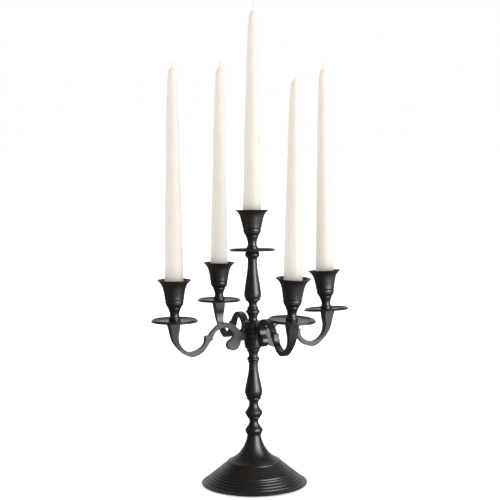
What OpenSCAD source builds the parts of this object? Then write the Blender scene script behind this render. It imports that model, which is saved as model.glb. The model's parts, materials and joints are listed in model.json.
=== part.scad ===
// Five-light tabletop candelabra, millimetres, +Z up, origin at the centre of the base's underside.
// The lower double arm lies along X and the upper double arm along Y. Both turn on the tie rod.

/* [Overall] */
// Height from the table to the rim of the centre cup
overall_h = 332.2; // [331:0.1:338]
// Distance from the stem's axis to the axis of an arm's cup
arm_reach = 101.3; // [96:0.1:106]
// Height of the underside of the lower pair of pans
lower_pan_z = 204.9; // [204:0.1:207]
// How much higher the upper pair of pans is
pair_step = 6.3; // [4.6:0.1:6.6]

/* [Base] */
// Radius of the base at its rim
base_r = 64; // [63.5:0.1:66]
// Height of the base, where the stem's foot bead begins
base_h = 60.4; // [59:0.1:61]
// Thickness of the base's wall
base_wall = 3.2; // [2.6:0.1:3.6]
// Thickness of the felt
felt_t = 1.8; // [1.5:0.1:2.4]

/* [Stem] */
// Height at which the lower boss rests on the lower column
hub_z = 172; // [171.5:0.1:172.5]
// Height of one boss of the hub
boss_h = 12.4; // [12:0.05:12.6]
// Radius of the lower boss
lower_boss_r = 10.8; // [10.4:0.1:11]
// Radius of the upper boss
upper_boss_r = 11.5; // [11:0.1:11.8]
// Radius of the tie rod
rod_r = 3; // [2.5:0.1:3.2]

/* [Arms] */
// Thickness of an arm's strap
strap_t = 6.6; // [6:0.1:8]
// Thickness of an arm just under its pan
arm_end_t = 13; // [11:0.1:14]

/* [Pans and cups] */
// Radius of a pan at its lower edge
pan_r = 27.5; // [26:0.1:29]
// Height of a pan's lip
pan_lip_h = 2.8; // [2.2:0.1:3.2]
// Height of a cup above the underside of its pan
cup_top = 49.2; // [47:0.1:49.5]
// How much lower the ring of an arm's cup is than the ring of the centre cup
ring_drop = 1.6; // [0:0.1:2.4]
// Radius of a cup's socket
socket_r = 11.4; // [11.3:0.05:11.6]
// Depth of a socket below the cup's rim
socket_depth = 13.2; // [12.5:0.1:13.5]
// Radius of the threaded studs under the cups
stud_r = 2.48; // [2:0.01:2.5]

/* [Candles] */
// Length of a whole arm candle's wax
candle_len = 258.4; // [240:0.2:262]
// Length of the centre candle's wax
centre_candle_len = 247.6; // [235:0.2:255]
// Length of the candle with the broken top
broken_candle_len = 233.6; // [225:0.2:236]
// Radius of a candle at its foot
candle_r = 11; // [10.6:0.05:11]
// Radius of a wick
wick_r = 0.85; // [0.6:0.05:1]
// Length of wick above the wax
wick_out = 8; // [5:0.5:10]

/* [Hidden] */
$fn = 96;

metal = [0.10, 0.095, 0.09];
bright = [0.62, 0.62, 0.60];
felt_green = [0.07, 0.07, 0.07];
wax = [0.95, 0.93, 0.90];
wick_white = [0.90, 0.88, 0.84];

// Heights that follow from the driving dimensions
upper_pan_z = lower_pan_z + pair_step;
centre_pan_z = overall_h - cup_top;
hub_split_z = hub_z + boss_h;
hub_top_z = hub_split_z + boss_h;

// Fits
running = 0.08;
thread = 0.02;
loose = 0.2;
tap_past = 0.5;
pan_floor = 1;
stud_down = 16;
stud_up = 12;
rod_top_z = 211;
rod_bottom_z = 9;
nut_z = 13;
nut_h = 5;
nut_af = 10;
washer_t = 1.6;
washer_r = 9;
washer_z = nut_z + nut_h;
boss_foot_z = washer_z + washer_t;
cut = 1;

// The seats the pans stand on, as azimuth, lean and the azimuth they lean towards.
// The castings aren't quite true, so most of the seats lean by a few degrees.
centre = [0, 3.4, 64.6];
lower_a = [180, 0.6, 50];
lower_b = [0.9, 4.2, 100];
upper_a = [270, 3.2, 302];
upper_b = [89.4, 1.7, 47];
seat_stock = 1;

// ---- Smooth outlines ----

// A point on the Catmull-Rom curve between b and c
function on_curve(a, b, c, d, t) =
    0.5 * (2 * b + (c - a) * t + (2 * a - 5 * b + 4 * c - d) * t * t
        + (3 * b - a - 3 * c + d) * t * t * t);

// A smooth run through its knots, each span in the given number of steps
function smooth(knots, steps = 4) = [
    for (i = [0 : len(knots) - 2], s = [0 : steps - 1])
        let (before = knots[max(i - 1, 0)], after = knots[min(i + 2, len(knots) - 1)])
            on_curve(before, knots[i], knots[i + 1], after, s / steps),
    knots[len(knots) - 1]
];

// Half of a turned bead's section, from its upper edge round to its lower edge
function bead(r, z, proud, half_h, step = 22.5) =
    [for (a = [90 : -step : -90]) [r + proud * cos(a), z + half_h * sin(a)]];

// Turns runs of [radius, height] points, given from top to bottom, with a hole down the axis
module turned(runs, hole_r = 0) {
    points = [for (run = runs, p = run) p];
    top = points[0];
    foot = points[len(points) - 1];
    rotate_extrude()
        polygon(concat([[hole_r, top[1]]], points, [[hole_r, foot[1]]]));
}

// Tips a child about the origin by an angle towards an azimuth
module tipped(lean, towards) {
    rotate([0, 0, towards])
        rotate([0, lean, 0])
            rotate([0, 0, -towards])
                children();
}

// Puts a child on a seat, with the seat's own azimuth as its +X
module on_seat(seat, z, reach = arm_reach) {
    rotate([0, 0, seat[0]])
        translate([reach, 0, z])
            rotate([0, 0, -seat[0]])
                tipped(seat[1], seat[2])
                    rotate([0, 0, seat[0]])
                        children();
}

// What is cut away at a seat: the stock above its face and the hole for the stud
module faced_and_tapped() {
    translate([-pan_r, -pan_r, 0])
        cube([2 * pan_r, 2 * pan_r, 4 * seat_stock]);
    translate([0, 0, -stud_down - tap_past])
        cylinder(r = stud_r + thread, h = stud_down + tap_past + cut);
}

// ---- Base ----

cone_top = [32.8, 26.98];
cone_foot = [60, 4.26];
ridge_count = 4;
ridge_pitch = 4.17;
ridge_w = 1.5;
ridge_h = 0.7;
ridge_sink = 0.6;
first_ridge = 19.9;
rim_lift = 1.1;
felt_gap = 0.05;
felt_recess_r = base_r - 3.8;

// A point on the cone, a distance down from its top and a height off its face
function on_cone(down, off) =
    let (slope = (cone_foot - cone_top) / norm(cone_foot - cone_top))
        cone_top + slope * down + [-slope[1], slope[0]] * off;

// The ridges turned into the lower half of the cone, with a groove on each side of them
ridges = [
    for (i = [0 : ridge_count - 1], a = [180 : -30 : 0])
        on_cone(first_ridge + i * ridge_pitch + ridge_w * cos(a), ridge_h * sin(a) - ridge_sink)
];

trumpet = smooth([
    [8.2, base_h], [8.5, 57.4], [9.8, 52.6], [11.9, 47.5], [14.9, 42.3], [19.2, 36.8],
    [24.8, 32.3], [28.4, 30.1], [31.2, 28.7]
]);
shoulder = smooth([[31.2, 28.7], [32.1, 28.2], [32.5, 27.5], [32.5, 27.1], cone_top]);
cone_face = [on_cone(first_ridge - 2.6, 0), on_cone(first_ridge - 2, -0.3)];
after_ridges = first_ridge + ridge_count * ridge_pitch - 1.6;
rim = smooth([
    on_cone(after_ridges, -0.1), [base_r - 2.7, 3.4], [base_r - 1.2, 2.7], [base_r - 0.2, 2],
    [base_r, 1.6], [base_r - 0.4, rim_lift]
]);

// The hollow under the base, whose wall follows the outside
hollow = [
    [10, boss_foot_z],
    [13, boss_foot_z + 3],
    [28, 27.4 - base_wall],
    [cone_top[0] - 1, cone_top[1] - base_wall - 1.6],
    [cone_foot[0] - base_wall - 1.6, felt_t + 0.9],
    [cone_foot[0] - base_wall - 0.8, felt_t]
];

module base_dome() {
    color(metal)
        difference() {
            turned([trumpet, shoulder, cone_face, ridges, rim]);
            translate([0, 0, -cut])
                cylinder(r = rod_r + running, h = base_h + 2 * cut);
            rotate_extrude()
                polygon(concat([[0, felt_t], [0, boss_foot_z]], hollow));
            translate([0, 0, -cut])
                cylinder(r = felt_recess_r, h = felt_t + cut);
        }
}

module base_felt() {
    color(felt_green)
        cylinder(r = felt_recess_r - felt_gap, h = felt_t);
}

module base_washer() {
    color(bright)
        translate([0, 0, washer_z])
            difference() {
                cylinder(r = washer_r, h = washer_t);
                translate([0, 0, -cut])
                    cylinder(r = rod_r + loose, h = washer_t + 2 * cut);
            }
}

module base_nut() {
    color(bright)
        translate([0, 0, nut_z])
            difference() {
                cylinder(d = nut_af / cos(30), h = nut_h, $fn = 6);
                translate([0, 0, -cut])
                    cylinder(r = rod_r + thread, h = nut_h + 2 * cut);
            }
}

module tie_rod() {
    color(bright)
        translate([0, 0, rod_bottom_z])
            cylinder(r = rod_r, h = rod_top_z - rod_bottom_z);
}

// ---- Stem ----

flange_edge = 0.5;

// The lower column, from its flange under the hub down to the bead on the base
lower_flange = [[10.3, hub_z], [10.8, hub_z - flange_edge], [10.8, 170.4], [10.2, 169.9]];
lower_cap = smooth([[10.1, 169.7], [10, 168.1], [9.4, 166.4], [8.3, 165.1]]);
lower_step = smooth([[7.7, 164.9], [7.6, 163.4], [7.1, 161.8], [6.3, 160.7]]);
lower_top_neck = smooth([[6, 160.5], [5.5, 158.2], [5.6, 156], [6, 155]]);
lower_bead = bead(5.7, 152.9, 1.9, 2.1);
lower_ring = bead(5.5, 149.3, 1, 1.2, 30);
baluster = smooth([
    [5.5, 147.7], [5.5, 143.8], [5.9, 138.7], [6.7, 133.7], [7.6, 129], [8.6, 124.1],
    [9.6, 119.3], [10.4, 115.2], [10.5, 112], [9.8, 108.6], [8.6, 106]
], 3);
baluster_ring = bead(7.8, 104.5, 0.95, 1.2, 30);
waist = smooth([[7.2, 102.9], [6.1, 101.3], [5.5, 98.9], [5.8, 96.1], [6.8, 93.6], [8, 91.9]]);
knop_top = smooth([[7.8, 91.7], [8.9, 90.3], [9.9, 88.9]]);
knop = smooth([[10.3, 88.7], [10.5, 87.4], [10.3, 86.1]]);
knop_foot = smooth([[10.1, 85.9], [9.6, 84.2], [8.6, 82.8]]);
knop_ring = bead(7, 81.5, 0.85, 0.95, 30);
foot_neck = smooth([[6.6, 80.4], [5.7, 78.3], [5.4, 76.3], [5.8, 74.2], [7, 71.7], [8.6, 69.7]]);
foot_bead = smooth([[8.3, 69.4], [9.7, 68], [10.7, 65.9], [10.3, 63.8], [9.2, 61.8], [8.5, base_h]]);

module lower_column() {
    color(metal)
        turned([
            lower_flange, lower_cap, lower_step, lower_top_neck, lower_bead, lower_ring, baluster,
            baluster_ring, waist, knop_top, knop, knop_foot, knop_ring, foot_neck, foot_bead
        ], rod_r + running);
}

// The upper column, from the seat under the centre pan down to its flange on the hub
pan_seat = smooth([
    [7.2, centre_pan_z + seat_stock], [7.2, centre_pan_z], [7.8, centre_pan_z - 1.4],
    [8.8, centre_pan_z - 4.1], [7.9, centre_pan_z - 6.6], [6.5, centre_pan_z - 8]
]);
vase = smooth([
    [5.9, centre_pan_z - 8.6], [5.6, 272.3], [5.7, 266.3], [6.2, 260.2], [7, 254.2], [8, 248.1],
    [8.9, 242.1], [9.7, 236.3], [10.2, 231.6], [9.9, 227.9], [9.2, 226.3]
], 3);
vase_ring = bead(7.9, 224.8, 1.1, 1.3, 30);
vase_foot = smooth([
    [7.8, 223.3], [6.4, 222.2], [5.4, 220.9], [4.8, 218.7], [5.2, 216.7], [6.1, 215.4]
]);
collar_top = bead(6.1, 213.9, 0.9, 1.1, 30);
collar = bead(6.4, 210, 2.1, 2.3);
collar_foot = bead(6, 206.8, 0.7, 0.9, 30);
hub_neck = smooth([[5.9, 205.6], [5.4, 203.4], [5.4, 201.1], [6.4, 199.3], [8.6, 198.6]]);
upper_flange = [
    [10.1, hub_top_z + 1.7], [10.6, hub_top_z + 1.2], [10.6, hub_top_z + flange_edge],
    [10.2, hub_top_z]
];

module upper_column() {
    color(metal)
        difference() {
            turned([
                pan_seat, vase, vase_ring, vase_foot, collar_top, collar, collar_foot, hub_neck,
                upper_flange
            ]);
            translate([0, 0, hub_top_z - cut])
                cylinder(r = rod_r + thread, h = rod_top_z - hub_top_z + cut + tap_past);
            on_seat(centre, centre_pan_z, 0)
                faced_and_tapped();
        }
}

// ---- Double arms ----

// The arm's outline at the reach it was drawn at. Points are a distance from the stem's axis
// and a height from the underside of the pan.
drawn_reach = 101.3;
inner_edge = smooth([
    [96.5, seat_stock], [96.6, 0], [96.8, -5], [97.3, -11], [98.3, -17.2], [96.8, -25.5],
    [92.6, -31.6], [86.6, -35.9], [80.6, -37.4], [73.6, -35.8], [67.2, -32.2], [63.6, -27.2],
    [63.2, -20.2]
]);
hump_top = smooth([
    [58, -19.3], [54.6, -14.8], [51.2, -11.7], [47.5, -8.7], [42.6, -6.5], [37.2, -5.7],
    [31, -6.6], [25.9, -8.9], [21.5, -13], [17.6, -17.5]
]);
scroll = smooth([
    [18.2, -31.9], [20, -35.7], [23.5, -38.7], [28, -39.6], [32.4, -38.1], [34.9, -33.6],
    [33.5, -29.2], [30.6, -26.8], [28, -25.2]
]);
hump_underside = smooth([
    [27.7, -24.9], [26.7, -21.8], [27.1, -18.8], [29.2, -15.7], [32.8, -12.9], [37.6, -11.5],
    [42.6, -11.8], [47.4, -13.7], [50.8, -16.3], [53.1, -20], [54.5, -24.9]
]);
outer_edge = smooth([
    [56.9, -26.2], [59.7, -29.8], [63.4, -35], [67.8, -39], [73.6, -42], [81.1, -43.2],
    [88.9, -40.2], [95.9, -34.4], [101, -28.3], [104.3, -22.5], [106.3, -15], [107.5, -8.7],
    [109, -3], [109.5, 0], [109.7, seat_stock]
]);

// The whole outline, with a lug to the boss between two heights below the pan
function arm_outline(lug_top, lug_foot) = [
    for (run = [
        inner_edge, hump_top, [[14.4, lug_top + 1.6], [12.4, lug_top], [7, lug_top], [7, lug_foot],
        [17.4, lug_foot]], scroll, hump_underside, outer_edge
    ], p = run)
        [p[0] < stem_side ? p[0] : p[0] * arm_reach / drawn_reach, p[1]]
];

flare_foot = -35;
flare_r = 87;
flare_len = 40;
outline_deep = 60;
stem_side = 20;

// Half the side view of the arm under its pan, where it thickens
flare = smooth([
    [strap_t / 2, flare_foot], [strap_t / 2 + 0.4, -29], [strap_t / 2 + 1.1, -21],
    [arm_end_t / 2 - 1, -11], [arm_end_t / 2, 0], [arm_end_t / 2, seat_stock]
]);

// One arm along +X
module arm(lug_top, lug_foot) {
    outline = arm_outline(lug_top, lug_foot);
    rotate([90, 0, 0])
        linear_extrude(strap_t, center = true)
            polygon(outline);
    intersection() {
        rotate([90, 0, 0])
            linear_extrude(arm_end_t + 2 * cut, center = true)
                intersection() {
                    polygon(outline);
                    translate([flare_r, -outline_deep])
                        square([flare_len, outline_deep + seat_stock]);
                }
        rotate([90, 0, 90])
            linear_extrude(2 * drawn_reach)
                polygon(concat(
                    [for (p = flare) p],
                    [for (i = [len(flare) - 1 : -1 : 0]) [-flare[i][0], flare[i][1]]],
                    [[-strap_t / 2, -outline_deep], [strap_t / 2, -outline_deep]]
                ));
    }
}

// A boss of the hub with a shallow groove round it
module boss(r, z) {
    edge = 0.5;
    groove = 0.6;
    mid = z + boss_h / 2;
    turned([
        [[r - edge, z + boss_h], [r, z + boss_h - edge], [r, mid + 1], [r - groove, mid + 0.5],
            [r - groove, mid - 0.5], [r, mid - 1], [r, z + edge], [r - edge, z]]
    ]);
}

// Two opposite arms cast in one piece with their boss, faced for the pans and tapped for the studs
module double_arm(seats, pan_z, boss_r, boss_z, lug_top_z, lug_foot_z) {
    color(metal)
        difference() {
            union() {
                for (seat = seats)
                    rotate([0, 0, seat[0]])
                        translate([0, 0, pan_z])
                            arm(lug_top_z - pan_z, lug_foot_z - pan_z);
                boss(boss_r, boss_z);
            }
            translate([0, 0, boss_z - cut])
                cylinder(r = rod_r + running, h = boss_h + 2 * cut);
            for (seat = seats)
                on_seat(seat, pan_z)
                    faced_and_tapped();
        }
}

module lower_double_arm() {
    seats = [lower_a, lower_b];
    double_arm(seats, lower_pan_z, lower_boss_r, hub_z, hub_split_z - 0.35, hub_z + 4.3);
}

module upper_double_arm() {
    seats = [upper_a, upper_b];
    double_arm(seats, upper_pan_z, upper_boss_r, hub_split_z, hub_top_z - 3, hub_split_z + 0.6);
}

// ---- Pans, cups and studs ----

lip_in = 1.5;
lip_t = 1.2;
lip_r = pan_r - lip_in - lip_t;
dish = smooth([[lip_r, pan_lip_h], [lip_r - 1, 1.7], [lip_r - 3.9, pan_floor]]);

// A shallow pan, with its underside at the origin
module pan() {
    color(metal)
        rotate_extrude()
            polygon(concat(
                [[stud_r + loose, 0], [stud_r + loose, pan_floor]],
                [for (i = [len(dish) - 1 : -1 : 0]) dish[i]],
                [[pan_r - lip_in, pan_lip_h], [pan_r, 0.7], [pan_r, 0.4], [pan_r - 0.4, 0]]
            ));
}

module centre_pan() { on_seat(centre, centre_pan_z, 0) pan(); }
module lower_pan_a() { on_seat(lower_a, lower_pan_z) pan(); }
module lower_pan_b() { on_seat(lower_b, lower_pan_z) pan(); }
module upper_pan_a() { on_seat(upper_a, upper_pan_z) pan(); }
module upper_pan_b() { on_seat(upper_b, upper_pan_z) pan(); }

// Runs of the cup's outside, as radius and depth below the rim
cup_lip = [[19.7, 0], [20.1, -0.3]];
bell = smooth([
    [20.1, -0.6], [17.9, -2.3], [16, -4.6], [14.7, -7.1], [13.9, -9.6], [13.3, -12], [12.7, -14.4],
    [12.1, -16.8], [11.6, -19.2], [11.2, -21.6]
]);
cup_ring = bead(10.2, -24.2, 0.6, 1.5, 30);
cup_bowl = smooth([[10.4, -26], [9.9, -27.5], [9.2, -28.8], [8.4, -30.1]]);
cup_crease = bead(7.2, -31.2, 0.7, 0.9, 45);
cup_neck = smooth([[7.2, -32.6], [6.2, -35.4], [5.5, -38.4], [5.4, -41.2], [5.9, -43.4]]);
cup_foot = [[6.7, -44.4], [6.9, -45], [6.9, -cup_top + pan_floor]];
bell_foot = -22;
neck_top = -33;
neck_foot = -43.4;
slim = 0.6;

// A run of the cup's outside with the bell made longer by drop and narrower by waist
function stretched(run, drop, waist) = [
    for (p = run)
        let (
            in_bell = min(1, p[1] / bell_foot),
            in_neck = max(0, (p[1] - neck_foot) / (neck_top - neck_foot))
        )
            [p[0] - waist * sin(180 * in_bell), p[1] - drop * min(in_bell, in_neck)]
];

// The socket: a short bell mouth over a straight bore with a flat floor
mouth = smooth([[19.1, 0], [16.4, -2.4], [14.1, -5], [12.5, -7.6], [socket_r, -9.8]]);

// A cup with its rim at the origin's height plus cup_top
module cup(drop, waist) {
    runs = [cup_lip, bell, cup_ring, cup_bowl, cup_crease, cup_neck, cup_foot];
    color(metal)
        translate([0, 0, cup_top])
            difference() {
                turned([for (run = runs) stretched(run, drop, waist)]);
                turned([[[19.1, cut]], mouth, [[socket_r, -socket_depth]]]);
                translate([0, 0, pan_floor - cup_top - cut])
                    cylinder(r = stud_r + thread, h = stud_up + cut + tap_past);
            }
}

module centre_cup() { on_seat(centre, centre_pan_z, 0) cup(0, 0); }
module lower_cup_a() { on_seat(lower_a, lower_pan_z) cup(ring_drop, slim); }
module lower_cup_b() { on_seat(lower_b, lower_pan_z) cup(ring_drop, slim); }
module upper_cup_a() { on_seat(upper_a, upper_pan_z) cup(ring_drop, slim); }
module upper_cup_b() { on_seat(upper_b, upper_pan_z) cup(ring_drop, slim); }

// A threaded stud from the arm's end, through the pan, into the cup
module stud() {
    color(bright)
        translate([0, 0, -stud_down])
            cylinder(r = stud_r, h = stud_down + pan_floor + stud_up);
}

module centre_stud() { on_seat(centre, centre_pan_z, 0) stud(); }
module lower_stud_a() { on_seat(lower_a, lower_pan_z) stud(); }
module lower_stud_b() { on_seat(lower_b, lower_pan_z) stud(); }
module upper_stud_a() { on_seat(upper_a, upper_pan_z) stud(); }
module upper_stud_b() { on_seat(upper_b, upper_pan_z) stud(); }

// ---- Candles ----

seat_z = cup_top - socket_depth;
foot_bevel = 0.8;
foot_bevel_h = 4;
foot_r = candle_r - foot_bevel;
broken_off = 4;
break_slope = 9;
knot_lift = 1.1;
knot = 0.1;
stub = 1.9;

// The taper's section by distance below the tip, down to the foot
taper = smooth([
    [3.3, -2.2], [4.6, -7], [5.9, -21], [7.35, -66], [9.3, -141], [10.5, -205], [candle_r, -236]
], 6);
tip = smooth([[wick_r, 0], [2.2, -0.8], [3.3, -2.2]]);

// A tapered candle standing on the origin
module candle(length) {
    color(wax)
        difference() {
            translate([0, 0, length])
                turned([
                    tip, [for (p = taper) if (p[1] > foot_bevel_h - length) p],
                    [[candle_r, foot_bevel_h - length], [foot_r, -length]]
                ]);
            translate([0, 0, -cut])
                cylinder(r = wick_r + thread, h = length + 2 * cut);
        }
}

// A candle whose top has snapped off on a slope
module broken_candle(length) {
    difference() {
        candle(length + broken_off);
        translate([0, 0, length])
            rotate([0, 0, lean_azimuth])
                rotate([0, -break_slope, 0])
                    color(wax)
                        cylinder(r = candle_r, h = 2 * broken_off);
    }
}

// A wick from the candle's foot past its tip, with its free end tilted towards lean_azimuth
module wick(length, out, tilt) {
    color(wick_white)
        union() {
            cylinder(r = wick_r, h = length + knot_lift);
            translate([0, 0, length + knot_lift])
                sphere(r = wick_r + knot);
            translate([0, 0, length + knot_lift])
                rotate([0, 0, lean_azimuth])
                    rotate([0, tilt, 0])
                        cylinder(r = wick_r, h = out - knot_lift);
        }
}

// The candles stand a little out of true, tipped towards one azimuth
lean_azimuth = -25.4;
centre_lean = 0.75;
lower_a_lean = 0.24;
lower_b_lean = -0.2;
upper_a_lean = 1;
upper_b_lean = 0.85;

// The angle between a candle's lean and its seat's lean
function askew(seat, lean) =
    norm(lean * [cos(lean_azimuth), sin(lean_azimuth)] - seat[1] * [cos(seat[2]), sin(seat[2])]);

// Stands a child in the socket of a seat's cup, resting on the edge of its tipped foot
module standing(seat, pan_z, lean, reach = arm_reach) {
    lift = foot_r * sin(askew(seat, lean));
    translate([reach * cos(seat[0]), reach * sin(seat[0]), pan_z])
        tipped(seat[1], seat[2])
            translate([0, 0, seat_z + lift])
                tipped(-seat[1], seat[2])
                    tipped(lean, lean_azimuth)
                        children();
}

module centre_seat() { standing(centre, centre_pan_z, centre_lean, 0) children(); }
module lower_a_seat() { standing(lower_a, lower_pan_z, lower_a_lean) children(); }
module lower_b_seat() { standing(lower_b, lower_pan_z, lower_b_lean) children(); }
module upper_a_seat() { standing(upper_a, upper_pan_z, upper_a_lean) children(); }
module upper_b_seat() { standing(upper_b, upper_pan_z, upper_b_lean) children(); }

module centre_candle() { centre_seat() candle(centre_candle_len); }
module lower_candle_a() { lower_a_seat() candle(candle_len); }
module lower_candle_b() { lower_b_seat() candle(candle_len); }
module upper_candle_a() { upper_a_seat() broken_candle(broken_candle_len); }
module upper_candle_b() { upper_b_seat() candle(candle_len); }

// No two wicks are the same length or bent the same way
module centre_wick() { centre_seat() wick(centre_candle_len, wick_out + 0.2, 18); }
module lower_wick_a() { lower_a_seat() wick(candle_len, wick_out - 1.6, -17); }
module lower_wick_b() { lower_b_seat() wick(candle_len, wick_out - 0.7, 12); }
module upper_wick_a() { upper_a_seat() wick(broken_candle_len, stub, -6); }
module upper_wick_b() { upper_b_seat() wick(candle_len, wick_out + 1.5, 18); }

base_dome();
base_felt();
base_washer();
base_nut();
tie_rod();
lower_column();
lower_double_arm();
upper_double_arm();
upper_column();
centre_stud();
centre_pan();
lower_pan_a();
lower_pan_b();
upper_pan_a();
upper_pan_b();
centre_cup();
lower_cup_a();
lower_cup_b();
upper_cup_a();
upper_cup_b();
lower_stud_a();
lower_stud_b();
upper_stud_a();
upper_stud_b();
centre_candle();
lower_candle_a();
lower_candle_b();
upper_candle_a();
upper_candle_b();
centre_wick();
lower_wick_a();
lower_wick_b();
upper_wick_a();
upper_wick_b();
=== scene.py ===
"""Tabletop candelabra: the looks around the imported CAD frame, in metres and in its frame."""

import json
import math

import bmesh
import bpy
from mathutils import Matrix, Vector, noise

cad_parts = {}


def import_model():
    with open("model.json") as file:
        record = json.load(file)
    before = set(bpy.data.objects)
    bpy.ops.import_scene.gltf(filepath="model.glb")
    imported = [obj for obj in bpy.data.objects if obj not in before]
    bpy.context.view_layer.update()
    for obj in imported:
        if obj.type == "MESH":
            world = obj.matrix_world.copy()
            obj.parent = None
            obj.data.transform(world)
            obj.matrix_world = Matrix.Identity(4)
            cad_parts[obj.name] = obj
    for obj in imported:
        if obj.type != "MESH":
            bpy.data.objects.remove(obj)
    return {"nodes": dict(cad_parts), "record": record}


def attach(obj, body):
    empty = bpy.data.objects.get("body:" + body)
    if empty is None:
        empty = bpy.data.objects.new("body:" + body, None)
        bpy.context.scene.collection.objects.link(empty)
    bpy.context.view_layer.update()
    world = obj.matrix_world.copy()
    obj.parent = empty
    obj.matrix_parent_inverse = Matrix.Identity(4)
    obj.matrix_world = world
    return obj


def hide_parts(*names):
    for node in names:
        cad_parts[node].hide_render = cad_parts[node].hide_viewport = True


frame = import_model()
nodes = frame["nodes"]
record = frame["record"]
body_of = {n: b for b, names in record["behaviour"]["bodies"].items() for n in names}
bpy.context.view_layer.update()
MM = 0.001

# The camera's right lies this many degrees clockwise from +X, as seen from above
CAMERA_TURN = 25.459
TURN = Matrix.Rotation(math.radians(-CAMERA_TURN), 4, "Z")

# Sockets of a Mix node that mixes colours
FACTOR, FIRST, SECOND, MIXED = 0, 6, 7, 2


def seen(x, y, z):
    """A point given to the right of, behind and above the stem's foot, as the camera sees them."""
    return TURN @ Vector((x, y, z))


# ---- Materials ----


def new_material(name):
    """A node material with its Principled shader, and a helper that adds linked nodes."""
    mat = bpy.data.materials.new(name)
    mat.use_nodes = True
    tree = mat.node_tree
    shader = tree.nodes["Principled BSDF"]

    def add(kind, links=(), **values):
        node = tree.nodes.new(kind)
        for key, value in values.items():
            if key in node.inputs:
                node.inputs[key].default_value = value
            else:
                setattr(node, key, value)
        for socket, source in dict(links).items():
            tree.links.new(source, node.inputs[socket])
        return node

    return mat, tree, shader, add


def ramp(add, source, stops):
    """The colour from a ramp over source with (position, rgb) stops."""
    node = add("ShaderNodeValToRGB", {"Fac": source})
    elements = node.color_ramp.elements
    while len(elements) < len(stops):
        elements.new(0.5)
    for element, (position, colour) in zip(elements, stops):
        element.position = position
        element.color = (*colour, 1)
    return node.outputs["Color"]


def grey(value):
    return (value, value, value)


def total(add, first, second):
    """The sum of two noises."""
    return add(
        "ShaderNodeMath", {0: first.outputs["Fac"], 1: second.outputs["Fac"]}, operation="ADD"
    ).outputs[0]


def span(add, source, low, high, from_low=0.0, from_high=1.0):
    """Maps source from one range to another."""
    return add(
        "ShaderNodeMapRange",
        {"Value": source},
        **{"From Min": from_low, "From Max": from_high, "To Min": low, "To Max": high},
    ).outputs["Result"]


def black_metal():
    """Satin, warm black paint over a cast and turned metal, slightly uneven."""
    mat, tree, shader, add = new_material("black_metal")
    place = add("ShaderNodeTexCoord").outputs["Object"]
    cloud = add("ShaderNodeTexNoise", {"Vector": place}, Scale=38.0, Detail=5.0, Roughness=0.6)
    grain = add("ShaderNodeTexNoise", {"Vector": place}, Scale=420.0, Detail=4.0, Roughness=0.62)
    speck = add("ShaderNodeTexNoise", {"Vector": place}, Scale=1500.0, Detail=3.0, Roughness=0.55)
    peel = add("ShaderNodeTexVoronoi", {"Vector": place}, Scale=900.0, Randomness=1.0)

    base = ramp(
        add,
        cloud.outputs["Fac"],
        [(0.30, (0.0095, 0.0069, 0.0050)), (0.70, (0.0145, 0.0110, 0.0083))],
    )
    fleck = ramp(add, speck.outputs["Fac"], [(0.60, grey(0.0)), (0.74, grey(1.0))])
    flecked = add("ShaderNodeMix", data_type="RGBA")
    tree.links.new(base, flecked.inputs[FIRST])
    flecked.inputs[SECOND].default_value = (0.024, 0.020, 0.016, 1)
    tree.links.new(fleck, flecked.inputs[FACTOR])
    tree.links.new(flecked.outputs[MIXED], shader.inputs["Base Color"])

    rough = span(add, total(add, cloud, grain), 0.31, 0.43, 0.75, 1.25)
    tree.links.new(rough, shader.inputs["Roughness"])

    soft = add("ShaderNodeBump", {"Height": grain.outputs["Fac"]}, Strength=0.16, Distance=0.00025)
    skin = add(
        "ShaderNodeBump",
        {"Height": peel.outputs["Distance"], "Normal": soft.outputs["Normal"]},
        Strength=0.10,
        Distance=0.00012,
    )
    fine = add(
        "ShaderNodeBump",
        {"Height": speck.outputs["Fac"], "Normal": skin.outputs["Normal"]},
        Strength=0.14,
        Distance=0.00008,
    )
    tree.links.new(fine.outputs["Normal"], shader.inputs["Normal"])
    shader.inputs["IOR"].default_value = 1.5
    return mat


def steel(threaded):
    """Plain zinc-plated steel, with a thread's ridges along Z where it is threaded."""
    mat, tree, shader, add = new_material("threaded_steel" if threaded else "plated_steel")
    place = add("ShaderNodeTexCoord").outputs["Object"]
    cloud = add("ShaderNodeTexNoise", {"Vector": place}, Scale=180.0, Detail=5.0, Roughness=0.6)
    tone = ramp(
        add,
        cloud.outputs["Fac"],
        [(0.3, (0.46, 0.45, 0.42)), (0.6, (0.60, 0.60, 0.58)), (0.8, (0.68, 0.66, 0.60))],
    )
    tree.links.new(tone, shader.inputs["Base Color"])
    rough = span(add, cloud.outputs["Fac"], 0.28, 0.46, 0.3, 0.7)
    tree.links.new(rough, shader.inputs["Roughness"])
    if threaded:
        ridges = add("ShaderNodeTexWave", {"Vector": place}, Scale=160.0, Distortion=0.0)
        ridges.bands_direction = "Z"
        height, strength, distance = ridges, 0.8, 0.0004
    else:
        height, strength, distance = cloud, 0.2, 0.0002
    bump = add(
        "ShaderNodeBump", {"Height": height.outputs["Fac"]}, Strength=strength, Distance=distance
    )
    tree.links.new(bump.outputs["Normal"], shader.inputs["Normal"])
    shader.inputs["Metallic"].default_value = 1.0
    return mat


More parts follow.
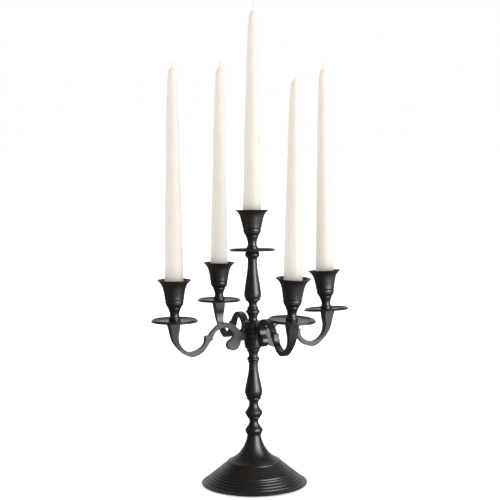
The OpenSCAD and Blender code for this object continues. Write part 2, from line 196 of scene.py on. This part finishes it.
def felt():
    """Black wool felt: matted fibres with a soft nap."""
    mat, tree, shader, add = new_material("felt")
    place = add("ShaderNodeTexCoord").outputs["Object"]
    matted = add("ShaderNodeTexNoise", {"Vector": place}, Scale=260.0, Detail=6.0, Roughness=0.7)
    fibre = add(
        "ShaderNodeTexNoise",
        {"Vector": place},
        Scale=1400.0,
        Detail=4.0,
        Roughness=0.7,
        Distortion=2.5,
    )
    tone = ramp(
        add, matted.outputs["Fac"], [(0.3, (0.010, 0.010, 0.011)), (0.7, (0.030, 0.029, 0.030))]
    )
    tree.links.new(tone, shader.inputs["Base Color"])
    nap = total(add, matted, fibre)
    bump = add("ShaderNodeBump", {"Height": nap}, Strength=0.7, Distance=0.0005)
    tree.links.new(bump.outputs["Normal"], shader.inputs["Normal"])
    shader.inputs["Roughness"].default_value = 0.95
    shader.inputs["Sheen Weight"].default_value = 0.35
    shader.inputs["Sheen Roughness"].default_value = 0.5
    return mat


def wax():
    """Ivory candle wax: translucent, with faint clouding and a soft, hand-dipped skin."""
    mat, tree, shader, add = new_material("ivory_wax")
    place = add("ShaderNodeTexCoord").outputs["Object"]
    cloud = add("ShaderNodeTexNoise", {"Vector": place}, Scale=55.0, Detail=4.0, Roughness=0.55)
    drawn = add("ShaderNodeMapping", {"Vector": place}, Scale=(1.0, 1.0, 0.12))
    streak = add(
        "ShaderNodeTexNoise",
        {"Vector": drawn.outputs["Vector"]},
        Scale=320.0,
        Detail=4.0,
        Roughness=0.6,
    )
    pore = add("ShaderNodeTexNoise", {"Vector": place}, Scale=1600.0, Detail=3.0, Roughness=0.6)
    tone = ramp(
        add,
        span(add, total(add, cloud, streak), 0.0, 1.0, 0.7, 1.3),
        [(0.0, (0.858, 0.806, 0.744)), (1.0, (0.892, 0.852, 0.800))],
    )
    tree.links.new(tone, shader.inputs["Base Color"])
    rough = span(add, streak.outputs["Fac"], 0.36, 0.52, 0.3, 0.7)
    tree.links.new(rough, shader.inputs["Roughness"])
    soft = add("ShaderNodeBump", {"Height": cloud.outputs["Fac"]}, Strength=0.12, Distance=0.0006)
    drag = add(
        "ShaderNodeBump",
        {"Height": streak.outputs["Fac"], "Normal": soft.outputs["Normal"]},
        Strength=0.10,
        Distance=0.0003,
    )
    skin = add(
        "ShaderNodeBump",
        {"Height": pore.outputs["Fac"], "Normal": drag.outputs["Normal"]},
        Strength=0.08,
        Distance=0.0001,
    )
    tree.links.new(skin.outputs["Normal"], shader.inputs["Normal"])
    shader.inputs["Subsurface Weight"].default_value = 0.55
    shader.inputs["Subsurface Radius"].default_value = (1.0, 0.72, 0.45)
    shader.inputs["Subsurface Scale"].default_value = 0.004
    shader.inputs["IOR"].default_value = 1.44
    shader.inputs["Specular IOR Level"].default_value = 0.2
    return mat


def cotton():
    """Waxed cotton of a braided wick."""
    mat, tree, shader, add = new_material("wick_cotton")
    place = add("ShaderNodeTexCoord").outputs["Object"]
    fibre = add(
        "ShaderNodeTexNoise",
        {"Vector": place},
        Scale=2600.0,
        Detail=4.0,
        Roughness=0.7,
        Distortion=1.5,
    )
    tone = ramp(add, fibre.outputs["Fac"], [(0.3, (0.80, 0.75, 0.66)), (0.7, (0.92, 0.89, 0.83))])
    tree.links.new(tone, shader.inputs["Base Color"])
    bump = add("ShaderNodeBump", {"Height": fibre.outputs["Fac"]}, Strength=0.5, Distance=0.0002)
    tree.links.new(bump.outputs["Normal"], shader.inputs["Normal"])
    shader.inputs["Roughness"].default_value = 0.8
    shader.inputs["Sheen Weight"].default_value = 0.2
    return mat


def pale_floor():
    """A plain, matte, near-white floor, with painted glow towards the back and painted shade where
    metal mirrors it.
    """
    mat, tree, shader, add = new_material("pale_floor")
    place = add("ShaderNodeTexCoord").outputs["Object"]
    cloud = add("ShaderNodeTexNoise", {"Vector": place}, Scale=6.0, Detail=3.0)
    tone = ramp(add, cloud.outputs["Fac"], [(0.3, grey(0.88)), (0.7, grey(0.90))])
    mirrored = add("ShaderNodeLightPath").outputs["Is Glossy Ray"]
    sideways = add("ShaderNodeVectorMath", {0: place}, operation="DOT_PRODUCT")
    sideways.inputs[1].default_value = seen(0.86, -0.5, 0)
    # Painted shade: in mirrored rays the floor's colour drops to near black on one side, so the
    # metal mirrors a dark floor there
    mirror_shade = ramp(add, sideways.outputs["Value"], [(0.10, grey(0.03)), (0.55, grey(0.80))])
    tone_and_mirror_shade = add("ShaderNodeMix", {FACTOR: mirrored, FIRST: tone, SECOND: mirror_shade}, data_type="RGBA")
    tree.links.new(tone_and_mirror_shade.outputs[MIXED], shader.inputs["Base Color"])
    shader.inputs["Roughness"].default_value = 0.9
    shader.inputs["Specular IOR Level"].default_value = 0.1
    behind = add("ShaderNodeVectorMath", {0: place}, operation="DOT_PRODUCT")
    behind.inputs[1].default_value = seen(0, 1, 0)
    # Painted glow: emission from -0.2 in front to 0.3 towards the back, cut to 0.15 of that in
    # mirrored rays, lightening the floor's shadows
    painted_glow = span(add, behind.outputs["Value"], 0.32, 0.85, -0.2, 0.3)
    shown = span(add, mirrored, 1.0, 0.15)
    painted_glow = add("ShaderNodeMath", {0: painted_glow, 1: shown}, operation="MULTIPLY").outputs[0]
    shader.inputs["Emission Color"].default_value = (1, 1, 1, 1)
    tree.links.new(painted_glow, shader.inputs["Emission Strength"])
    return mat


METAL = black_metal()
PLATED = steel(False)
THREADED = steel(True)
FELT = felt()
WAX = wax()
COTTON = cotton()


# ---- Turned pieces ----

SEAM_TOLERANCE = 0.02 * MM
TILT_FADE = 1.4 * MM
NORMAL_WEIGHT = 80

# An outline's turn at which a corner is rounded, and at which it is rounded in more steps
SLIGHT_CORNER = math.radians(20)
SHARP_CORNER = math.radians(45)


def face_axis(node):
    """The upward normal of a node's largest flat: the axis it was turned about."""
    obj = nodes[node]
    turn = obj.matrix_world.to_3x3()
    flats = {}
    for f in obj.data.polygons:
        n = (turn @ f.normal).normalized()
        n = -n if n.z < 0 else n
        key = tuple(round(c, 4) for c in n)
        flats[key] = flats.get(key, Vector()) + n * f.area
    return max(flats.values(), key=lambda n: n.length).normalized()


def upright(node, axis):
    """The frame at the foot of a node turned about axis, with axis as +Z, and the node's height."""
    obj = nodes[node]
    turn = Vector((0, 0, 1)).rotation_difference(axis).to_matrix()
    back = turn.inverted() @ obj.matrix_world.to_3x3()
    shift = turn.inverted() @ obj.matrix_world.translation
    points = [back @ v.co + shift for v in obj.data.vertices]
    low = [min(p[i] for p in points) for i in range(3)]
    high = [max(p[i] for p in points) for i in range(3)]
    foot = turn @ Vector(((low[0] + high[0]) / 2, (low[1] + high[1]) / 2, low[2]))
    return Matrix.Translation(foot) @ turn.to_4x4(), high[2] - low[2]


def section(node, place, seam):
    """A turned node's outline, read along its seam.

    Gives the (radius, height) points in order, whether they close, and how many were left over.
    """
    obj = nodes[node]
    to_own = place.inverted() @ obj.matrix_world
    cos, sin = math.cos(seam), math.sin(seam)
    key_of, point = [], {}
    for v in obj.data.vertices:
        p = to_own @ v.co
        x, y = p.x * cos + p.y * sin, p.y * cos - p.x * sin
        if math.hypot(x, y) < SEAM_TOLERANCE:
            x = y = 0.0
        if x < 0 or abs(y) > SEAM_TOLERANCE:
            key_of.append(None)
            continue
        key = (round(x, 6), round(p.z, 6))
        point[key] = (x, p.z)
        key_of.append(key)
    near = {key: set() for key in point}
    for e in obj.data.edges:
        a, b = key_of[e.vertices[0]], key_of[e.vertices[1]]
        if a is not None and b is not None and a != b and not (a[0] == 0 and b[0] == 0):
            near[a].add(b)
            near[b].add(a)
    near = {k: v for k, v in near.items() if v}
    ends = sorted(k for k, v in near.items() if len(v) == 1)
    start = ends[0] if ends else max(near)
    order, taken = [start], {start}
    while options := sorted(k for k in near[order[-1]] if k not in taken):
        order.append(options[0])
        taken.add(options[0])
    return [Vector(point[k]) for k in order], not ends, len(near) - len(order)


def softened(points, closed, radius):
    """The outline with its sharp corners rounded."""
    out = []
    count = len(points)
    for i, p in enumerate(points):
        if not closed and i in (0, count - 1):
            out.append(p)
            continue
        a, b = points[i - 1] - p, points[(i + 1) % count] - p
        turn = math.pi - a.angle(b, math.pi)
        if turn < SLIGHT_CORNER:
            out.append(p)
            continue
        back = min(radius * math.tan(min(turn, 2.6) / 2), 0.42 * a.length, 0.42 * b.length)
        p0, p1 = p + a.normalized() * back, p + b.normalized() * back
        steps = 2 if turn < SHARP_CORNER else 4
        for s in range(steps + 1):
            t = s / steps
            out.append(p0 * (1 - t) ** 2 + p * 2 * t * (1 - t) + p1 * t * t)
    return out


def new_object(name, bm, material):
    """Turns a bmesh into a smooth-shaded object."""
    bmesh.ops.recalc_face_normals(bm, faces=bm.faces)
    mesh = bpy.data.meshes.new(name)
    for f in bm.faces:
        f.smooth = True
    bm.to_mesh(mesh)
    bm.free()
    obj = bpy.data.objects.new(name, mesh)
    bpy.context.scene.collection.objects.link(obj)
    mesh.materials.append(material)
    return obj


def weigh_normals(obj):
    """Gives obj normals that follow its larger faces, so flats stay flat beside rounded edges."""
    weights = obj.modifiers.new("weighted_normals", "WEIGHTED_NORMAL")
    weights.keep_sharp = True
    weights.weight = NORMAL_WEIGHT
    evaluated = obj.evaluated_get(bpy.context.evaluated_depsgraph_get())
    mesh = bpy.data.meshes.new_from_object(evaluated)
    obj.modifiers.clear()
    obj.data = mesh


def around(steps):
    """The angles of that many steps round a circle."""
    return [2 * math.pi * i / steps for i in range(steps)]


def add_metal(name, bm, node):
    """Makes a metal piece from a bmesh, in place of a CAD node."""
    piece = new_object(name, bm, METAL)
    weigh_normals(piece)
    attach(piece, body_of[node])
    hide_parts(node)
    return piece


def lathe(outline, closed, place, steps):
    """A surface turned from an outline about the +Z of the frame it is placed in."""
    bm = bmesh.new()
    rings = []
    for r, z in outline:
        if r < 1e-6:
            rings.append([bm.verts.new((0, 0, z))])
            continue
        rings.append([bm.verts.new((r * math.cos(t), r * math.sin(t), z)) for t in around(steps)])
    pairs = list(zip(rings, rings[1:]))
    if closed:
        pairs.append((rings[-1], rings[0]))
    for a, b in pairs:
        for i in range(steps):
            j = (i + 1) % steps
            corners = [a[i % len(a)], a[j % len(a)], b[j % len(b)], b[i % len(b)]]
            corners = list(dict.fromkeys(corners))
            if len(corners) > 2:
                bm.faces.new(corners)
    bmesh.ops.transform(bm, matrix=place, verts=bm.verts)
    return bm


def tilted_top(outline):
    """The outline from its upper end, with a flat run in from that end for the face under a pan."""
    if outline[0].y < outline[-1].y:
        outline = outline[::-1]
    return [Vector((0.4 * outline[0].x, outline[0].y))] + outline


def tilt_top(piece, seat, axis):
    """Brings the top of a turned piece to the tilted plane a pan sits on, fading out below it."""
    top = max(v.co.z for v in piece.data.vertices)
    for v in piece.data.vertices:
        near = 1 - (top - v.co.z) / TILT_FADE
        if near > 0:
            plane = seat.z - (axis.x * (v.co.x - seat.x) + axis.y * (v.co.y - seat.y)) / axis.z
            v.co.z += near * (plane - top)


def turned_piece(node, steps, radius, place=Matrix(), seam=0.0, face=None):
    """Rebuilds a turned node as a finer lathe surface with softened edges.

    A face is the (point, normal) of the tilted plane that the top of the piece ends at.
    """
    outline, closed, missed = section(node, place, seam)
    if missed or len(outline) < 4:
        raise RuntimeError(f"{node}: not one outline, {len(outline)} points and {missed} missed")
    if face:
        outline = tilted_top(outline)
    bm = lathe(softened(outline, closed, radius), closed, place, steps)
    piece = add_metal(node + "_turned", bm, node)
    if face:
        tilt_top(piece, *face)


turned_piece("base_dome", 160, 0.3 * MM)
turned_piece("lower_column", 112, 0.2 * MM)
centre_axis = face_axis("centre_pan")
centre_seat = upright("centre_pan", centre_axis)[0].translation
turned_piece("upper_column", 112, 0.2 * MM, face=(centre_seat, centre_axis))
for where in ("centre_{}", "lower_{}_a", "lower_{}_b", "upper_{}_a", "upper_{}_b"):
    pan, cup = where.format("pan"), where.format("cup")
    axis = face_axis(pan)
    seat = upright(pan, axis)[0].translation
    seam = math.atan2(seat.y, seat.x) if math.hypot(seat.x, seat.y) > 0.1 * MM else 0.0
    turned_piece(pan, 120, 0.2 * MM, upright(pan, axis)[0], seam)
    turned_piece(cup, 112, 0.25 * MM, upright(cup, axis)[0], seam)


# ---- Cast arms ----

WELD = 0.002 * MM
FLAT_ANGLE = math.radians(0.6)
CAST_EDGE = math.radians(38)
CAST_ROUND = 0.55 * MM


def cast_piece(node):
    """Copies a cast node and rounds its edges, as a mould and the paint do."""
    source = nodes[node]
    bm = bmesh.new()
    bm.from_mesh(source.data)
    bmesh.ops.transform(bm, matrix=source.matrix_world, verts=bm.verts)
    bmesh.ops.remove_doubles(bm, verts=bm.verts, dist=WELD)
    bmesh.ops.dissolve_limit(bm, angle_limit=FLAT_ANGLE, verts=bm.verts, edges=bm.edges)
    sharp = [e for e in bm.edges if e.is_manifold and e.calc_face_angle(0) > CAST_EDGE]
    bmesh.ops.bevel(
        bm,
        geom=sharp,
        offset=CAST_ROUND,
        segments=3,
        profile=0.5,
        affect="EDGES",
        clamp_overlap=True,
    )
    add_metal(node + "_cast", bm, node)


cast_piece("lower_double_arm")
cast_piece("upper_double_arm")


# ---- Hardware and felt: the CAD's own shapes ----

studs = ["centre_stud", "lower_stud_a", "lower_stud_b", "upper_stud_a", "upper_stud_b"]
for material, covered in (
    (PLATED, ["base_washer", "base_nut"]),
    (THREADED, ["tie_rod"] + studs),
    (FELT, ["base_felt"]),
):
    for node in covered:
        nodes[node].data.materials.clear()
        nodes[node].data.materials.append(material)


# ---- Candles and wicks ----

# The taper's radius by distance below its tip, in millimetres
TAPER = [
    (0.0, 0.86), (0.25, 1.35), (0.8, 2.2), (2.2, 3.3), (4.2, 3.95), (7.0, 4.6), (13.0, 5.3),
    (21.0, 5.9), (42.0, 6.65), (66.0, 7.35), (102.0, 8.35), (141.0, 9.3), (175.0, 10.0),
    (205.0, 10.5), (236.0, 11.0), (300.0, 11.0),
]
FOOT_BEVEL = 0.8 * MM
FOOT_BEVEL_H = 4.0 * MM
FOOT_EDGE = 0.15 * MM
RING_PITCH = 3.2 * MM
TIP_RUN = 30 * MM
TIP_RINGS = 44
BROKEN_OFF = 4.0 * MM
BREAK_SLOPE = math.radians(9)

# How deep a wick is built into the wax, its radius in there, and the length of a braid's turn
WICK_ROOT = 3 * MM
WICK_CORE = 0.8 * MM
BRAID_PITCH = 3.4 * MM

lift_axis = {
    joint["child"]: Vector(joint["axis"]).normalized()
    for joint in record["behaviour"]["joints"]
    if joint["type"] == "slide"
}


def taper_radius(below):
    """The taper's radius at a distance below its tip, both in metres."""
    below /= MM
    for (d0, r0), (d1, r1) in zip(TAPER, TAPER[1:]):
        if below <= d1:
            t = (below - d0) / (d1 - d0)
            return (r0 + (r1 - r0) * t) * MM
    return TAPER[-1][1] * MM


def dipped(theta, z, seed):
    """How far the wax stands off a true taper: slow waves from dipping, and a little drag."""
    side = Vector((math.cos(theta), math.sin(theta), 0))
    slow = noise.noise(side * 0.7 + Vector((seed, 0, z * 22)))
    drag = noise.noise(side * 3.1 + Vector((0, seed, z * 9)))
    return (0.10 * slow + 0.035 * drag) * MM


def candle_mesh(length, seed, steps=80):
    """A dipped taper standing on the origin."""
    bm = bmesh.new()
    heights = [0.0, FOOT_EDGE, 0.8 * MM, 2.2 * MM, FOOT_BEVEL_H]
    while heights[-1] < length - TIP_RUN:
        heights.append(heights[-1] + RING_PITCH)
    top = heights[-1]
    near = [1 - (1 - i / TIP_RINGS) ** 2.2 for i in range(1, TIP_RINGS + 1)]
    heights += [top + (length - top) * n for n in near]
    rings = []
    for z in heights:
        r = taper_radius(length - z)
        if z < FOOT_BEVEL_H:
            r -= FOOT_BEVEL * (1 - z / FOOT_BEVEL_H)
        if z == 0:
            r -= FOOT_EDGE
        fade = min(1, (length - z) / (6 * MM)) * min(1, z / (12 * MM))
        ring = []
        for t in around(steps):
            out = r + dipped(t, z, seed) * fade
            ring.append(bm.verts.new((out * math.cos(t), out * math.sin(t), z)))
        rings.append(ring)
    for a, b in zip(rings, rings[1:]):
        for i in range(steps):
            j = (i + 1) % steps
            bm.faces.new((a[i], a[j], b[j], b[i]))
    inner = [bm.verts.new((v.co.x * 0.1, v.co.y * 0.1, 0)) for v in rings[0]]
    for i in range(steps):
        j = (i + 1) % steps
        bm.faces.new((rings[0][j], rings[0][i], inner[i], inner[j]))
    return bm


def snap_top(bm, height, towards, seed):
    """Breaks the top off a candle on a rough slope, with crumbled edges."""
    side = Vector((math.cos(towards), math.sin(towards), 0))
    normal = (Vector((0, 0, 1)) - side * math.tan(BREAK_SLOPE)).normalized()
    point = Vector((0, 0, height))
    bmesh.ops.bisect_plane(
        bm,
        geom=bm.verts[:] + bm.edges[:] + bm.faces[:],
        plane_co=point,
        plane_no=normal,
        clear_outer=True,
    )
    rim = [v for v in bm.verts if abs((v.co - point).dot(normal)) < 1e-7 and v.is_boundary]
    rim.sort(key=lambda v: math.atan2(v.co.y, v.co.x))
    count = len(rim)
    rows = [rim]
    for scale in (0.975, 0.93, 0.86, 0.76, 0.64, 0.52, 0.40, 0.30, 0.22):
        row = []
        for v in rim:
            p = v.co * scale
            p.z = height + p.dot(side) * math.tan(BREAK_SLOPE)
            q = Vector((p.x, p.y, 0)) * 900
            rough = noise.fractal(q + Vector((seed, 0, 0)), 0.9, 2.1, 4)
            step = noise.noise(q * 0.35 + Vector((0, seed, 0)))
            p.z += (0.16 * rough + 0.28 * step) * MM * min(1, (1 - scale) * 5)
            row.append(bm.verts.new(p))
        rows.append(row)
    for a, b in zip(rows, rows[1:]):
        for i in range(count):
            j = (i + 1) % count
            bm.faces.new((a[i], a[j], b[j], b[i]))
    for v, w in zip(rim, rows[1]):
        crumb = noise.noise(v.co * 1400 + Vector((seed, 3, 0)))
        v.co.z -= (0.22 + 0.3 * max(0, crumb)) * MM
        w.co.z -= (0.03 + 0.12 * max(0, crumb)) * MM


def tube(bm, path, radii, sides=8):
    """A capped tube along a path, its section carried along without twisting."""
    rings = []
    across = None
    for i, (p, r) in enumerate(zip(path, radii)):
        ahead = (path[min(i + 1, len(path) - 1)] - path[max(i - 1, 0)]).normalized()
        if across is None:
            across = ahead.orthogonal().normalized()
        across = (across - ahead * across.dot(ahead)).normalized()
        other = ahead.cross(across)
        rings.append(
            [
                bm.verts.new(p + (across * math.cos(t) + other * math.sin(t)) * r)
                for t in around(sides)
            ]
        )
    for a, b in zip(rings, rings[1:]):
        for i in range(sides):
            j = (i + 1) % sides
            bm.faces.new((a[i], a[j], b[j], b[i]))
    bm.faces.new(rings[-1])
    bm.faces.new(list(reversed(rings[0])))


def free_end(node, place):
    """The centre of a wick's free end, in its candle's own frame."""
    obj = nodes[node]
    back = place.inverted() @ obj.matrix_world
    points = [back @ v.co for v in obj.data.vertices]
    top = max(p.z for p in points)
    cap = [p for p in points if p.z > top - 0.62 * MM]
    return sum(cap, Vector()) / len(cap)


def wick_mesh(length, end, seed):
    """A braided wick from the candle's foot, free above its tip and bent over to one side."""
    bm = bmesh.new()
    start = Vector((0, 0, length - WICK_ROOT))
    tube(bm, [Vector(), start + Vector((0, 0, 0.5 * MM))], [WICK_CORE] * 2, 12)
    tip = Vector((0, 0, length))
    bend = tip + Vector((0, 0, (end - tip).length * 0.5))
    centre = [start.lerp(tip, i / 10) for i in range(10)]
    centre += [
        tip * (1 - t) ** 2 + bend * 2 * t * (1 - t) + end * t * t
        for t in (i / 60 for i in range(61))
    ]
    run, total = [0.0], 0.0
    for a, b in zip(centre, centre[1:]):
        total += (b - a).length
        run.append(total)
    for strand in range(3):
        path, radii = [], []
        for i, (p, s) in enumerate(zip(centre, run)):
            ahead = (centre[min(i + 1, len(centre) - 1)] - centre[max(i - 1, 0)]).normalized()
            side = ahead.cross(Vector((0.3, 1, 0))).normalized()
            up = ahead.cross(side)
            t = 2 * math.pi * (s / BRAID_PITCH + strand / 3)
            left = (total - s) / MM
            splay = 0.30 + 0.16 * max(0.0, 1 - left / 0.9)
            loose = 0.04 * noise.noise(Vector((s * 900, strand * 5.0, seed)))
            path.append(p + (side * math.cos(t) + up * math.sin(t)) * (splay + loose) * MM)
            radii.append((0.46 - 0.15 * max(0.0, 1 - left / 0.5)) * MM)
        tube(bm, path, radii, 8)
    return bm


def candle_set(candle, wick, seed, broken=False):
    """A candle and its wick, on the body that lifts them out of their cup."""
    axis = lift_axis[body_of[candle]]
    place, length = upright(candle, axis)
    if broken:
        towards = math.atan2(axis.y, axis.x)
        length -= taper_radius(BROKEN_OFF) * math.tan(BREAK_SLOPE)
        bm = candle_mesh(length + BROKEN_OFF, seed)
        snap_top(bm, length, towards, seed)
    else:
        bm = candle_mesh(length, seed)
    bmesh.ops.transform(bm, matrix=place, verts=bm.verts)
    wax_piece = new_object(candle + "_taper", bm, WAX)
    bm = wick_mesh(length, free_end(wick, place), seed)
    bmesh.ops.transform(bm, matrix=place, verts=bm.verts)
    wick_piece = new_object(wick + "_braid", bm, COTTON)
    for piece, node, slot in ((wax_piece, candle, "wax"), (wick_piece, wick, "wick")):
        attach(piece, body_of[node])
        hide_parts(node)


candle_set("centre_candle", "centre_wick", 1.7)
candle_set("lower_candle_a", "lower_wick_a", 11.3)
candle_set("lower_candle_b", "lower_wick_b", 23.9)
candle_set("upper_candle_a", "upper_wick_a", 37.1, broken=True)
candle_set("upper_candle_b", "upper_wick_b", 51.8)


# ---- Room ----


def floor():
    """A wide round floor, set a hair below the base."""
    bm = bmesh.new()
    bmesh.ops.create_circle(bm, cap_ends=True, radius=60.0, segments=96)
    obj = new_object("floor", bm, pale_floor())
    obj.location.z = -0.2 * MM


def area_light(name, place, target, size, power, mirrored=True, scattered=True):
    """A soft light that points at target and can be kept out of mirrored or scattered light."""
    light = bpy.data.lights.new(name, "AREA")
    light.shape = "RECTANGLE"
    light.size, light.size_y = size
    light.energy = power
    obj = bpy.data.objects.new(name, light)
    bpy.context.scene.collection.objects.link(obj)
    obj.location = place
    obj.rotation_mode = "QUATERNION"
    obj.rotation_quaternion = (Vector(target) - Vector(place)).to_track_quat("-Z", "Y")
    obj.visible_camera = False
    obj.visible_glossy = mirrored
    obj.visible_diffuse = scattered
    return obj


def camera():
    """The camera, 1.54 m in front and 0.43 m up, tipped down by 5 degrees and slightly rolled."""
    data = bpy.data.cameras.new("camera")
    data.lens = 93.193
    data.sensor_width = 36.0
    data.clip_start, data.clip_end = 0.05, 30.0
    obj = bpy.data.objects.new("camera", data)
    bpy.context.scene.collection.objects.link(obj)
    obj.matrix_world = (
        TURN
        @ Matrix.Translation((-0.002687, -1.540541, 0.425416))
        @ Matrix.Rotation(math.radians(90 - 5.239), 4, "X")
        @ Matrix.Rotation(math.radians(-0.568), 4, "Z")
    )
    bpy.context.scene.camera = obj


def world():
    """A white sweep behind the object, a soft room around it, and a dim one for mirrored rays."""
    scene_world = bpy.data.worlds.new("studio")
    bpy.context.scene.world = scene_world
    scene_world.use_nodes = True
    tree = scene_world.node_tree
    tree.nodes.clear()
    way = tree.nodes.new("ShaderNodeTexCoord")
    ahead = tree.nodes.new("ShaderNodeVectorMath")
    ahead.operation = "DOT_PRODUCT"
    ahead.inputs[1].default_value = seen(0, 1, 0)
    tree.links.new(way.outputs["Generated"], ahead.inputs[0])
    path = tree.nodes.new("ShaderNodeLightPath")

    def background(strength):
        node = tree.nodes.new("ShaderNodeBackground")
        node.inputs["Color"].default_value = (1, 1, 1, 1)
        if isinstance(strength, float):
            node.inputs["Strength"].default_value = strength
        else:
            tree.links.new(strength, node.inputs["Strength"])
        return node.outputs["Background"]

    def faded(near, low, high):
        fade = tree.nodes.new("ShaderNodeMapRange")
        fade.inputs["From Min"].default_value = near[0]
        fade.inputs["From Max"].default_value = near[1]
        fade.inputs["To Min"].default_value = low
        fade.inputs["To Max"].default_value = high
        tree.links.new(ahead.outputs["Value"], fade.inputs["Value"])
        return fade.outputs["Result"]

    def choose(ray, otherwise, chosen):
        mix = tree.nodes.new("ShaderNodeMixShader")
        tree.links.new(path.outputs[ray], mix.inputs["Fac"])
        tree.links.new(otherwise, mix.inputs[1])
        tree.links.new(chosen, mix.inputs[2])
        return mix.outputs["Shader"]

    room = background(faded((-0.4, 0.6), 0.45, 0.9))
    mirrored = background(faded((0.48, 0.88), 0.05, 1.0))
    lit = choose("Is Glossy Ray", room, mirrored)
    out = tree.nodes.new("ShaderNodeOutputWorld")
    tree.links.new(choose("Is Camera Ray", lit, background(1.0)), out.inputs["Surface"])


floor()
world()
camera()
middle = seen(0, 0, 0.28)
area_light("strip", seen(0.98, -0.81, 0.60), middle, (1.12, 1.3), 55.0, scattered=False)
area_light("key", seen(1.10, -0.62, 0.62), middle, (0.46, 1.25), 3.9, mirrored=False)
area_light("wash", seen(0.55, -1.30, 1.25), middle, (1.2, 0.9), 5.0, mirrored=False)
area_light("fill", seen(-1.20, -0.60, 0.85), middle, (0.9, 1.2), 1.9, mirrored=False)
area_light("crown", seen(0.0, 0.75, 1.5), middle, (1.0, 0.6), 1.6)

view = bpy.context.scene.view_settings
view.view_transform = "Standard"
view.look = "None"
